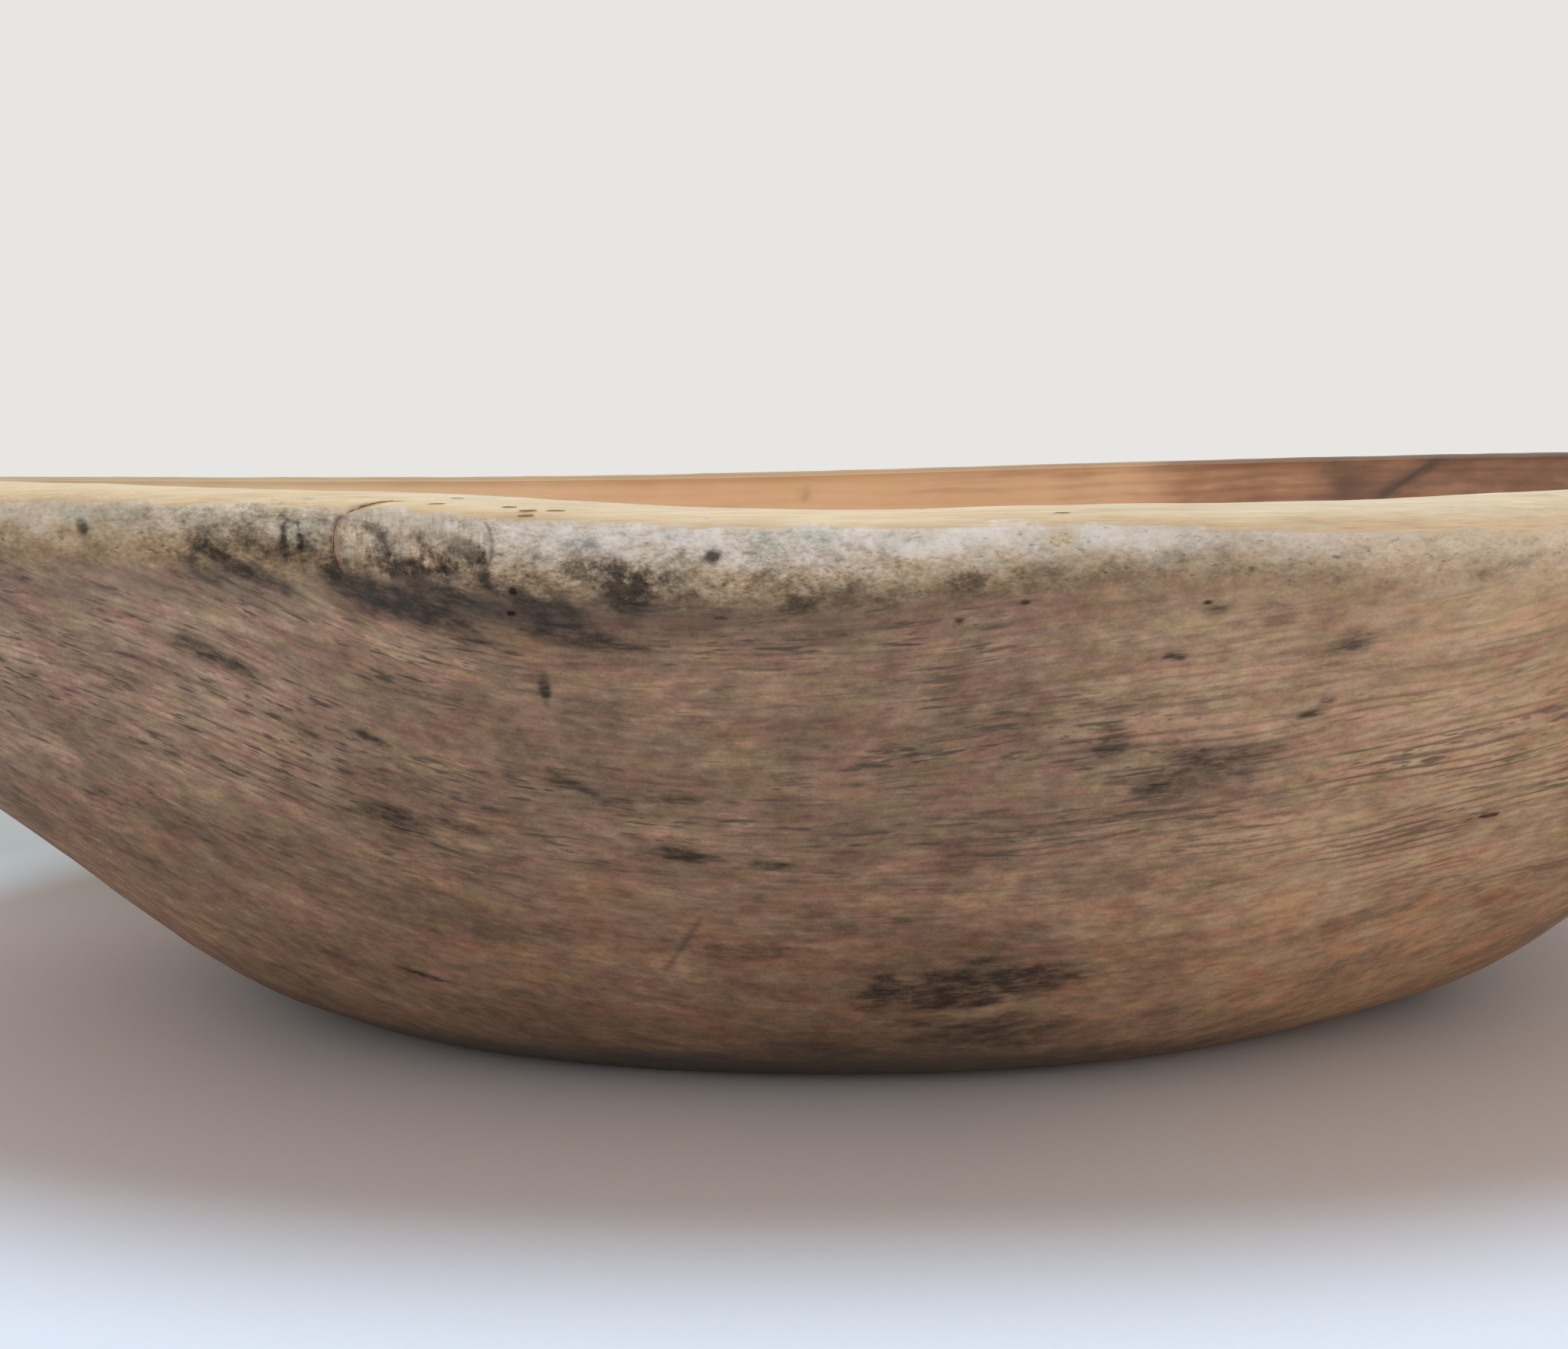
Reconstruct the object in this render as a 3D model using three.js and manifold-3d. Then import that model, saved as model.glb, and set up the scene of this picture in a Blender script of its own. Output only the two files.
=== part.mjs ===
// A hewn wooden dish: one oblong block hollowed by hand, with two branch knots set in its front rim.
// Millimetres. X runs along the grain, Y across it and Z up. The origin is the foot's centre, on the table.
import * as THREE from "three";
import { LoftGeometry } from "three/addons/geometries/LoftGeometry.js";
import { mergeVertices } from "three/addons/utils/BufferGeometryUtils.js";
import Module from "manifold-3d";

// Outline: plan ovals, where a power of 2 is a true ellipse and a higher one is squarer
const LENGTH = 480;
const WIDTH = 310;
const RIM_POWER = 2.3;
const FOOT_LENGTH = 230;
const FOOT_WIDTH = 164;
const FOOT_POWER = 2.1;
const WELL_LENGTH = 120; // the level middle of the hollow's floor
const WELL_WIDTH = 88;

// Section: heights, and the thickness of the wood
const HEIGHT = 111.5; // table to the rim's crest, before the sway
const FLOOR_THICKNESS = 14;
const RIM_WIDTH = 18; // outer edge to the hollow's mouth
const EDGE_HEIGHT = 11.5; // upright outer edge, measured down from the crest
const EDGE_SOFTENING = 4; // how far the lower edge's rounding reaches each way
const CREST_INSET = 7; // outer edge to the crest
const CREST_ROUNDING = 3.5; // drop from the crest to the top of the upright edge
const MOUTH_ROUNDING = 4; // drop from the crest to the hollow's mouth
const WALL_BELLY = 0.3; // share of the overhang that the outer wall has covered before it starts to climb
const HOLLOW_BELLY = 0.68; // the same, for the wall of the hollow

// The hewn rim isn't level: waves round the rim, each with its rise and the plan angle of its peak in degrees
const RIM_SWAY = [
  { waves: 1, rise: 1.1, peak: -75 },
  { waves: 2, rise: 2.6, peak: 16 },
  { waves: 3, rise: 0.8, peak: -25 },
];

// Branch knots: place along the rim, drop below the crest, half sizes and oval power on the rim's face,
// how far they run into the wood, and how much the half width shrinks for each millimetre of that run
const RIM_KNOT = {
  along: -67,
  drop: 7.2,
  halfWidth: 12,
  halfHeight: 6.4,
  power: 2.6,
  depth: 44,
  taper: 0.12,
};
const PIN_KNOT = {
  along: 26,
  drop: 4.5,
  halfWidth: 1.7,
  halfHeight: 1.1,
  power: 2,
  depth: 9,
  taper: 0.06,
};
const KNOT_CLEARANCE = 0.3; // the crack that shrinkage leaves round a knot
const KNOT_OVERSHOOT = 6; // how far a knot's blank stands out of the rim before it is trimmed

// Fineness of the facets
const STATIONS = 112; // sections round the dish
const WALL_STEPS = 9;
const ROUNDING_STEPS = 4;
const KNOT_SIDES = 36;

const UP = new THREE.Vector3(0, 0, 1);

// Distance from the axis to an oval, along a plan angle.
function ovalRadius(angle, length, width, power) {
  const along = Math.abs(Math.cos(angle) / (length / 2)) ** power;
  const across = Math.abs(Math.sin(angle) / (width / 2)) ** power;
  return (along + across) ** (-1 / power);
}

function crestHeight(angle) {
  const wave = ({ waves, rise, peak }) => rise * Math.cos(waves * (angle - THREE.MathUtils.degToRad(peak)));
  return RIM_SWAY.reduce((height, sway) => height + wave(sway), HEIGHT);
}

// The cut through one side of the dish, from the axis out under the foot, up the outer wall, over the rim
// and down the hollow to the axis again.
function sectionPath(angle) {
  const foot = ovalRadius(angle, FOOT_LENGTH, FOOT_WIDTH, FOOT_POWER);
  const rim = ovalRadius(angle, LENGTH, WIDTH, RIM_POWER);
  const well = ovalRadius(angle, WELL_LENGTH, WELL_WIDTH, FOOT_POWER);
  const mouth = rim - RIM_WIDTH;
  const crest = crestHeight(angle);
  const wallStart = new THREE.Vector2(foot + WALL_BELLY * (rim - foot), 0);
  const edgeCorner = new THREE.Vector2(rim, crest - EDGE_HEIGHT);
  const wallTop = edgeCorner.clone().sub(wallStart).setLength(-EDGE_SOFTENING).add(edgeCorner);
  const path = new THREE.Path();
  path.moveTo(0, 0);
  path.lineTo(foot, 0);
  path.quadraticCurveTo(wallStart.x, wallStart.y, wallTop.x, wallTop.y);
  path.quadraticCurveTo(edgeCorner.x, edgeCorner.y, rim, edgeCorner.y + EDGE_SOFTENING);
  path.lineTo(rim, crest - CREST_ROUNDING);
  path.quadraticCurveTo(rim, crest, rim - CREST_INSET, crest);
  path.quadraticCurveTo(mouth, crest, mouth, crest - MOUTH_ROUNDING);
  path.quadraticCurveTo(well + HOLLOW_BELLY * (mouth - well), FLOOR_THICKNESS, well, FLOOR_THICKNESS);
  path.lineTo(0, FLOOR_THICKNESS);
  return path;
}

// Points along the section, the same number at every station.
function sectionPoints(angle) {
  const steps = [1, WALL_STEPS, ROUNDING_STEPS, 1, ROUNDING_STEPS, ROUNDING_STEPS, WALL_STEPS, 1];
  const path = sectionPath(angle);
  const rest = path.curves.flatMap((curve, index) => curve.getPoints(steps[index]).slice(1));
  return [path.curves[0].getPoint(0), ...rest];
}

// The whole dish before its knots are cut: closed rings, lofted from the foot over the rim to the floor.
function dishBlank() {
  const rings = [];
  for (let station = 0; station < STATIONS; station += 1) {
    const angle = (2 * Math.PI * station) / STATIONS;
    sectionPoints(angle).forEach((point, ring) => {
      rings[ring] ??= [];
      rings[ring].push(new THREE.Vector3(point.x * Math.cos(angle), point.x * Math.sin(angle), point.y));
    });
  }
  return new LoftGeometry(rings, { closed: true });
}

// Where a knot's axis leaves the front rim, and the way it points there: level, square to the rim.
function knotSeat({ along, drop }) {
  const reach = Math.abs(along / (LENGTH / 2));
  const across = -(WIDTH / 2) * (1 - reach ** RIM_POWER) ** (1 / RIM_POWER);
  const slopeAlong = (Math.sign(along) * reach ** (RIM_POWER - 1)) / LENGTH;
  const slopeAcross = -(Math.abs(across / (WIDTH / 2)) ** (RIM_POWER - 1)) / WIDTH;
  const height = crestHeight(Math.atan2(across, along)) - drop;
  return {
    point: new THREE.Vector3(along, across, height),
    outward: new THREE.Vector3(slopeAlong, slopeAcross, 0).normalize(),
  };
}

// A knot's blank: an oval cone that runs into the rim, wider all round by the growth given.
function knotBlank(knot, growth) {
  const { point, outward } = knotSeat(knot);
  const sideways = new THREE.Vector3().crossVectors(outward, UP);
  const basis = new THREE.Matrix4().makeBasis(sideways, UP, outward).setPosition(point);
  const width = 2 * (knot.halfWidth + growth);
  const height = 2 * (knot.halfHeight + growth);
  const oval = (out, size) => {
    const spread = size * (1 + (knot.taper * out) / knot.halfWidth);
    return Array.from({ length: KNOT_SIDES }, (_, side) => {
      const angle = (2 * Math.PI * side) / KNOT_SIDES;
      const radius = spread * ovalRadius(angle, width, height, knot.power);
      return new THREE.Vector3(radius * Math.cos(angle), radius * Math.sin(angle), out).applyMatrix4(basis);
    });
  };
  const inner = -knot.depth - growth;
  // Each end closes on a ring that has shrunk to the axis.
  const rings = [oval(KNOT_OVERSHOOT, 0), oval(KNOT_OVERSHOOT, 1), oval(inner, 1), oval(inner, 0)];
  return new LoftGeometry(rings, { closed: true });
}

const wasm = await Module();
wasm.setup();

function toSolid(geometry) {
  const bare = new THREE.BufferGeometry();
  bare.setAttribute("position", geometry.attributes.position);
  bare.setIndex(geometry.index);
  const merged = mergeVertices(bare);
  const corners = merged.index.array;
  const triVerts = [];
  for (let first = 0; first < corners.length; first += 3) {
    const [a, b, c] = corners.slice(first, first + 3);
    // Where rings shrink to a point on the axis, half of the triangles have no area.
    if (a !== b && b !== c && c !== a) triVerts.push(a, b, c);
  }
  const vertProperties = new Float32Array(merged.attributes.position.array);
  const mesh = new wasm.Mesh({ numProp: 3, vertProperties, triVerts: new Uint32Array(triVerts) });
  return new wasm.Manifold(mesh);
}

function toMesh(name, solid, finish) {
  const { vertProperties, triVerts } = solid.getMesh();
  const geometry = new THREE.BufferGeometry();
  geometry.setAttribute("position", new THREE.BufferAttribute(vertProperties, 3));
  geometry.setIndex(new THREE.BufferAttribute(triVerts, 1));
  geometry.computeVertexNormals();
  const mesh = new THREE.Mesh(geometry, new THREE.MeshStandardMaterial({ metalness: 0, ...finish }));
  mesh.name = name;
  return mesh;
}

const dish = toSolid(dishBlank());

const dishBody = dish
  .subtract(toSolid(knotBlank(RIM_KNOT, KNOT_CLEARANCE)))
  .subtract(toSolid(knotBlank(PIN_KNOT, KNOT_CLEARANCE)));
const rimKnot = dish.intersect(toSolid(knotBlank(RIM_KNOT, 0)));
const pinKnot = dish.intersect(toSolid(knotBlank(PIN_KNOT, 0)));

const woodenDish = new THREE.Group();
woodenDish.add(
  toMesh("dish_body", dishBody, { color: 0x7f6553, roughness: 0.75 }),
  toMesh("rim_knot", rimKnot, { color: 0x978776, roughness: 0.8 }),
  toMesh("pin_knot", pinKnot, { color: 0xb79a76, roughness: 0.7 }),
);

export default woodenDish;
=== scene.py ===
# Looks of the hewn wooden dish: a fine skin over the CAD dish, its two knots, their finishes, the studio
# and the camera.
import math

import bmesh
import bpy
import numpy as np
from mathutils import Matrix, Vector


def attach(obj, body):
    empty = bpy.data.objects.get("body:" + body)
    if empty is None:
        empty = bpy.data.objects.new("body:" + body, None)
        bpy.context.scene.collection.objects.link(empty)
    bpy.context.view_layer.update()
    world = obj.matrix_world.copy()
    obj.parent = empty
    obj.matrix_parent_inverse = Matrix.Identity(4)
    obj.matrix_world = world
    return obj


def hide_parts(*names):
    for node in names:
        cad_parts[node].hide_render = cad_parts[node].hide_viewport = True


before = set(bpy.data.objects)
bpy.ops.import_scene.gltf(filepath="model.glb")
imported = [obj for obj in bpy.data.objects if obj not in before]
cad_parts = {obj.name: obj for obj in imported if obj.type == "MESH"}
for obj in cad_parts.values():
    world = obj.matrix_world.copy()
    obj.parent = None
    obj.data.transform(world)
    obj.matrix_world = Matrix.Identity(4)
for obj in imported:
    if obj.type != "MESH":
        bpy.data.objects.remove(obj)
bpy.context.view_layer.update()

# Sizes are in millimetres, as in the CAD model. Meshes, lights and the camera are made in metres.
MM = 0.001
LENGTH = 480
WIDTH = 310
RIM_POWER = 2.3
FOOT_LENGTH = 230
FOOT_WIDTH = 164
FOOT_POWER = 2.1
WELL_LENGTH = 120
WELL_WIDTH = 88
HEIGHT = 111.5
FLOOR_THICKNESS = 14
RIM_WIDTH = 18
EDGE_HEIGHT = 11.5
EDGE_SOFTENING = 4
CREST_INSET = 7
CREST_ROUNDING = 3.5
MOUTH_ROUNDING = 4
BACK_MOUTH_ROUNDING = 1.4  # the far side's lip is crisper
WALL_BELLY = 0.3
HOLLOW_BELLY = 0.68
# Waves of the rim: how many go round, the rise and the plan angle of the peak in degrees
RIM_SWAY = ((1, 1.1, -75), (2, 2.6, 16), (3, 0.8, -25))

# Hand-made departures of the front rim: centre along X, reach either way, and rise
CREST_SWELLS = ((-66, 20, 0.3), (-34, 16, -0.25), (-8, 24, -0.4), (34, 22, 0.45))
EDGE_SWELLS = ((-96, 24, -1.2), (-10, 34, 1.2))
# Hand-made departures of the lower front wall, written alike
WALL_SWELLS = ((-158, 28, -1.8), (132, 20, 2.6))
# The crest's rounding grows between two places along X, by this much
CREST_SLOPE = (30, 125, 3.0)

# Knots: place along the front rim, drop below the crest, half sizes, oval power, depth and taper
RIM_KNOT = dict(along=-67, drop=7.2, half_width=12, half_height=6.4, power=2.6, depth=44, taper=0.12)
PIN_KNOT = dict(along=26, drop=4.5, half_width=1.7, half_height=1.1, power=2, depth=9, taper=0.06)
# Widest gap of the crack along the rim knot's left side
CRACK_WIDTH = 0.16
KNOT_OVERSHOOT = 6

# The tree: where its middle lay, and how its grain dips under the rim knot and rises to the right
PITH_ACROSS = 110
PITH_HEIGHT = -215
PITH_DISTANCE = 330
DIP_AT = -88
DIP_REACH = 44
DIP_REACH_HIGH = 34
DIP_SLOPE = 0.22
DIP_SLOPE_HIGH = 0.44
LIFT_AT = 5
LIFT_REACH = 38
LIFT_SLOPE = 0.15
RISE_FROM = 10
RISE_TO = 110
RISE_SLOPE = 0.06

# Lower ends of the honey-coloured crown and of the grey edge on the front: places along X and drops below
# the crest
CROWN_LINE = ((-131, 2.4), (-82, 1.7), (-55, 2.7), (-5, 2.1), (17, 2.0), (38, 2.9), (84, 4.7), (110, 5.7))
BAND_LINE = (
    (-131, 12.3), (-100, 11.4), (-82, 11.9), (-44, 13.6),
    (-5, 13.2), (17, 11.9), (67, 12), (97, 13),
)
CROWN_ELSEWHERE = 3.2
BAND_ELSEWHERE = 12

# Dark stains on the front: place along X, height, half length along the grain, half width and strength
EDGE_STAINS = (
    (-118, 107.4, 1.8, 1.5, 0.75), (-103.5, 100.4, 2.5, 1, 0.7), (-100.5, 102, 4, 1.6, 0.7),
    (-97.5, 106.3, 4, 2.6, 0.45), (-95, 102.5, 5, 1.6, 0.8), (-91, 100, 6, 1.8, 0.9),
    (-90, 105.4, 4.5, 2.6, 0.45), (-87, 98.5, 3, 1.5, 0.8), (-86, 106, 0.5, 3, 0.8),
    (-84.5, 106.4, 2.4, 2.8, 0.45), (-83.5, 106, 0.4, 3, 0.6), (-37, 101, 9, 2.5, 0.6),
    (-23.4, 103.4, 1.5, 1.2, 0.85), (12.5, 99, 2.6, 3, 0.55),
)
KNOT_STAINS = (
    (-78.6, 100.2, 2.8, 2, 1), (-71.3, 106.7, 2, 1.4, 0.8), (-68.5, 101, 3, 1.8, 0.8),
    (-66, 101.8, 2, 1, 0.6), (-65.3, 105.6, 1.6, 2, 0.7), (-63.4, 103.6, 1.6, 1.6, 0.7),
    (-61.5, 101.4, 2.4, 1.4, 0.9), (-60, 104.8, 2.4, 2, 0.7), (-57.6, 103.2, 2, 2, 0.8),
    (-56.5, 101.2, 0.9, 1.6, 0.9),
)
UNDER_KNOT_STAINS = (
    (-75, 98, 5.5, 3.8, 1), (-71, 96.8, 5, 3, 1), (-66, 95.6, 4.5, 2, 1), (-63, 98, 4, 1.2, 0.8),
    (-62, 96, 14, 4, 0.4), (-61.5, 92.8, 4, 1.6, 1), (-60, 97, 2.8, 1.2, 0.9), (-57, 90, 3.4, 1.4, 0.9),
    (-50, 96, 6, 2.4, 0.5), (-48.5, 94.5, 3, 1.5, 0.9), (-44, 93.5, 12, 4.5, 0.7), (-40, 90.5, 6, 2, 0.7),
    (-36.5, 97, 4, 2.6, 0.8),
)
LEFT_STAINS = (
    (-134, 96, 3, 2, 0.6), (-132, 72, 4, 2, 0.5), (-125, 66.6, 4, 1.6, 0.5), (-119, 53, 4, 1.5, 0.4),
    (-100, 87, 6.5, 2.2, 0.85), (-88, 74.2, 2, 1, 0.8), (-78, 74, 3, 1.2, 0.9), (-77.3, 25.2, 6, 0.9, 1),
    (-77, 60.6, 6.5, 3.6, 0.8), (-66.5, 58.4, 7, 2, 0.65), (-61, 69, 4, 1.2, 0.6), (-60.6, 17, 5, 1.2, 0.4),
    (-53, 83, 6, 0.7, 0.5), (-49.2, 82, 0.9, 3.6, 1), (-48, 66.7, 4.5, 0.7, 0.9), (-42, 80.5, 5, 1.2, 0.5),
    (-38, 56.7, 3, 1.6, 0.7), (-34, 63.3, 10, 1.6, 0.65), (-30, 54, 6, 2.4, 0.9), (-20, 34.5, 11, 3, 0.55),
    (-16, 52.5, 4.5, 1.6, 0.9), (-12, 96, 2.5, 1.2, 0.8),
)
RIGHT_STAINS = (
    (-8.4, 97, 8, 3, 0.4), (-2.4, 66.6, 3.5, 1, 0.6), (13.6, 55.7, 12, 1, 0.45), (31.6, 80.2, 5, 0.8, 0.6),
    (35.6, 74.7, 4.5, 5, 0.55), (37, 71.6, 4, 2, 0.6), (44, 87, 1.8, 1.3, 1), (46.3, 65.5, 5, 1.2, 0.5),
    (48.3, 94, 3, 1.2, 0.7), (49, 70.6, 5, 2.2, 0.6), (51.4, 67.5, 14, 4.5, 0.62), (56, 69.6, 6, 1.2, 0.5),
    (67, 77.3, 2.6, 1.2, 1), (69, 79.5, 2, 1, 0.9), (70.7, 88.6, 4.5, 2.4, 0.9), (87, 84.4, 6, 1, 0.45),
)
LOW_STAINS = (
    (-7, 39, 9, 2.5, 0.4), (-7, 10.5, 9, 4, 0.5), (2.7, 26.8, 3, 4.5, 0.7), (5, 40, 7, 2.4, 0.5),
    (10, 24, 12, 6, 0.7), (22, 15, 14, 7, 0.7), (24, 26, 14, 7, 0.9), (55, 17.5, 8, 4, 0.4),
    (60.4, 35, 9, 1.8, 0.4),
)
STAINS = EDGE_STAINS + KNOT_STAINS + UNDER_KNOT_STAINS + LEFT_STAINS + RIGHT_STAINS + LOW_STAINS
# A mark's strongest share, which leaves the wood showing through
DEEPEST_MARK = 0.92
# Light scrapes on the front wall, written like the stains
SCRAPES = (
    (-64, 54.5, 3.2, 1.2, 0.7), (-33, 42, 17, 7, 0.38), (7.6, 24, 0.4, 3.4, 0.6), (70, 26, 30, 5, 0.3),
)
# Dark marks high on the far inner wall: their starts and ends, as places along X and heights, their half
# widths and strengths
INNER_STREAKS = (
    ((157.7, 101), (172.7, 111), 1.1, 1.0),
    ((148, 98), (150.5, 106), 3.4, 0.45),
    ((-6.7, 102), (-6.2, 102), 1.6, 0.4),
)
# Thin scratches that cross the grain of the front wall, written alike
WALL_SCRATCHES = (
    ((-50.1, 68.9), (-41.7, 63.5), 0.55, 0.8),
    ((-41.7, 63.5), (-37.3, 62.4), 0.5, 0.7),
    ((-34.2, 29.8), (-27.8, 40.8), 0.6, 0.5),
)
# Pits in the crown, as places along X, insets, half lengths and half widths
CROWN_PITS = (
    (-60.5, 3.6, 1, 0.2), (-63.2, 1.5, 1.3, 0.13), (-52.6, 1.6, 1.1, 0.2), (-50, 1, 1.3, 0.26),
    (-50.2, 0.35, 1.2, 0.22), (-45.8, 1.2, 1.4, 0.16), (6.5, 6.5, 0.9, 0.15), (26.2, 1.6, 1.1, 0.14),
)
# Worm holes and small slits in the wall, as places along X, heights, half lengths and half heights
WALL_PITS = (
    (-52.4, 98.5, 0.6, 0.6), (-53.2, 94.9, 0.75, 0.45), (103.4, 55.8, 1.9, 0.42), (-22.3, 94, 1, 0.25),
    (21, 96, 0.6, 0.3), (12, 93.7, 0.5, 0.3), (47.5, 95.5, 0.5, 0.3),
)
PIT_DEPTH = 0.9
# Edges that bend by more than this many degrees are crisp
SHARP_ANGLE = 40

# Relief of the skin: depths, and the sizes of the unevenness along X, Y and Z or along and across the grain
HEWN_DEPTH = 0.5
HEWN_SIZES = (36, 34, 30)
HEWN_SHARE_INSIDE = 0.8
RIDGE_DEPTH = 0.05
RIDGE_SIZES = (46, 1.9, 5)
EDGE_PIT_DEPTH = 0.4
EDGE_PIT_SIZES = (3.2, 1.3, 1.3)
FINE_DEPTH = 0.1
FINE_SIZES = (9, 9, 9)
GROOVE_DEPTH = 0.5
GROOVE_UNEVENNESS = 0.4
GROOVE_SIZES = (2.5, 2.5, 2.5)
# Wandering of the grain lines: depths and sizes
GRAIN_WANDER = ((1.1, (70, 16, 16)), (0.3, (22, 6, 6)))

# Spans along X in which the wood changes: where each change starts and where it is full
LIGHT_SPAN = (-5, 105)
LIGHT_END_SPAN = (92, 122)
WARM_SPAN = (35, 105)
ASH_SPAN = (-45, -110)
RUST_SPAN = (-105, -40)
PLAIN_SPAN = (0, 40)
PALE_SPAN = (-75, -30)
PALE_END_SPAN = (45, 90)
CALM_RIGHT_SPAN = (-25, 55)
CALM_LEFT_SPAN = (-94, -116)
# Painted shade in the crease under the grey edge: none at the first place, full at the second
CREASE_SHADE_SPAN = (40, -70)
INNER_DARK_SPAN = (20, 190)
INNER_PALE_SPAN = (-40, -190)
# Heights between which it changes, written alike
LIGHT_HEIGHTS = (20, 80)
LINED_HEIGHTS = (34, 62)
PLAIN_HEIGHTS = (70, 88)
ASH_HEIGHTS = (50, 90)
RUST_TOP = (62, 30)
RUST_FOOT = (6, 24)
# Painted shade: the wall darkens towards the foot, most of all just above the floor, for the contact shadow
LOW_SHADE_HEIGHTS = (34, 4)
FOOT_SHADE_HEIGHTS = (12, 5)
INNER_HEIGHTS = (25, 80)
SWELL_HEIGHTS = (95, 60)

# Colours: ramps with their stops, tints that multiply a colour, and colours that cover it
WALL_RAMP = (
    (0.34, (0.12, 0.077, 0.05)),
    (0.53, (0.235, 0.148, 0.095)),
    (0.66, (0.335, 0.214, 0.137)),
    (0.82, (0.51, 0.338, 0.21)),
    (1.0, (0.66, 0.47, 0.30)),
)
EDGE_RAMP = (
    (0.30, (0.09, 0.07, 0.052)),
    (0.50, (0.30, 0.245, 0.18)),
    (0.66, (0.54, 0.465, 0.375)),
    (0.82, (0.76, 0.685, 0.59)),
    (1.0, (0.90, 0.85, 0.78)),
)
CROWN_RAMP = ((0.40, (0.475, 0.353, 0.232)), (0.58, (0.64, 0.50, 0.335)), (0.78, (0.745, 0.62, 0.44)))
PIN_RAMP = ((0.35, (0.46, 0.34, 0.21)), (0.52, (0.70, 0.575, 0.39)), (0.7, (0.78, 0.69, 0.53)))
HOLLOW_RAMP = (
    (0.1, (0.15, 0.07, 0.042)),
    (0.28, (0.24, 0.12, 0.075)),
    (0.44, (0.40, 0.205, 0.115)),
    (0.62, (0.70, 0.43, 0.258)),
    (0.80, (0.78, 0.50, 0.30)),
)
MAUVE_TINT = (1.05, 0.9, 0.93)
OLIVE_TINT = (0.97, 1.03, 0.88)
RUST_TINT = (1.15, 1.0, 0.92)
ASH_TINT = (1.36, 1.43, 1.53)
WARM_TINT = (0.98, 0.94, 0.88)
WALL_SOOT_TINT = (0.16, 0.175, 0.19)
EDGE_ASH_TINT = (1.02, 0.98, 0.9)
EDGE_COOL_TINT = (0.89, 0.95, 0.96)
EDGE_WARM_TINT = (1.02, 0.9, 0.74)
EDGE_BROWN_TINT = (0.98, 0.84, 0.68)
EDGE_SOOT_TINT = (0.15, 0.15, 0.155)
# Yellows the crown's outer side and lightens it as painted light, where the rounding turns away from the
# lamp
CROWN_OUTER_YELLOW_AND_LIGHT = (1.1, 1.03, 0.93)
CROWN_RIGHT_TINT = (1.1, 1.1, 1.1)
HOLLOW_OLIVE_TINT = (0.97, 0.98, 0.93)
HOLLOW_PALE_TINT = (1.0, 1.22, 1.4)
# Painted shade: darkens the top of the far lip, which catches the lamp overhead
FAR_LIP_SHADE_TINT = (0.6, 0.54, 0.42)
GRAIN_CHARCOAL = (0.07, 0.055, 0.042)
GRAIN_BROWN = (0.13, 0.087, 0.058)
SCRAPED_WOOD = (0.45, 0.288, 0.172)
SCRATCH_COLOUR = (0.06, 0.045, 0.035)
# Painted shade laid low on the wall, at the foot and in the crease under the edge
PAINTED_SHADE_COLOUR = (0.06, 0.059, 0.053)
EDGE_HOLE_COLOUR = (0.08, 0.06, 0.048)
HALO_COLOUR = (0.70, 0.575, 0.39)
KNOT_TAN = (0.50, 0.39, 0.285)
KNOT_LIP_COLOUR = (0.36, 0.20, 0.12)
CROWN_MARK_COLOUR = (0.28, 0.20, 0.15)
INNER_MARK_COLOUR = (0.075, 0.05, 0.034)
CRACK_COLOUR = (0.12, 0.08, 0.055)
# Painted shade inside the pits and worm holes
PIT_SHADE_COLOUR = (0.075, 0.05, 0.04)
# Shares of the covering colours where they are strongest: painted shade low on the wall, pale ring, reddish
# lip, crack and painted shade in the pits
PAINTED_SHADE_SHARE = 0.43
HALO_SHARE = 0.6
KNOT_LIP_SHARE = 0.75
CRACK_SHARE = 0.75
PIT_SHADE_SHARE = 0.85
# Gloss and fine bumps of the wood
CROWN_ROUGHNESS = 0.5
WOOD_ROUGHNESS = 0.8
WOOD_SPECULAR = 0.3
BUMP_STRENGTH = 0.12
BUMP_DISTANCE = 0.15

# Fineness of the skin: steps along X, and rows from the foot over the rim to the hollow's floor
NEAR_STEP = 0.55
KNOT_STEP = 0.3
FAR_STEP = 2.4
NEAR_END = (125, 190)  # where the near step gives way to the far one, either side of the middle
KNOT_ZONE = 17
WALL_STEPS = 150
EDGE_STEPS = 14
FACE_STEPS = 16
CROWN_STEPS = 22
LIP_STEPS = 18
HOLLOW_STEPS = 90
FLAT_STEPS = 12

# Camera: read from the photograph's outline, in the dish's frame
IMAGE_WIDTH = 2048
FOCAL_PIXELS = 2300
SENSOR_WIDTH = 36
CAMERA_PLACE = (-13.5, -404.8, 120.2)
CAMERA_PITCH = 7.75
CAMERA_ROLL = -0.59

# Studio, in metres: backdrop, light from all round, soft lamp overhead, and the floor with its colour
# before the dish, its painted shade behind it and where that shade comes in, and the distances between
# which it fades
BACKDROP = (0.806, 0.791, 0.761)
AMBIENT = (0.66, 0.575, 0.50)
KEY_COLOUR = (0.62, 0.84, 1.0)
KEY_POWER = 38
KEY_SIZE = 1.1
KEY_PLACE = (0, 0.06, 2.4)
FLOOR_COLOUR = (0.82, 0.84, 0.93)
# Painted shade: the floor darkens to this colour behind the dish
FLOOR_SHADE_BEHIND = (0.43, 0.43, 0.42)
FLOOR_SHADE_SPAN = (0.01, 0.12)
FLOOR_SIZE = 8.0
FLOOR_SHOWN = 0.42
FLOOR_GONE = 0.9
FLOOR_SPECK = 0.002
FLOOR_SPECK_COLOUR = (0.6, 0.6, 0.6)
FLOOR_SPECK_SHARE = 0.03
FLOOR_ROUGHNESS = 0.7
FLOOR_SPECULAR = 0.2


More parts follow.
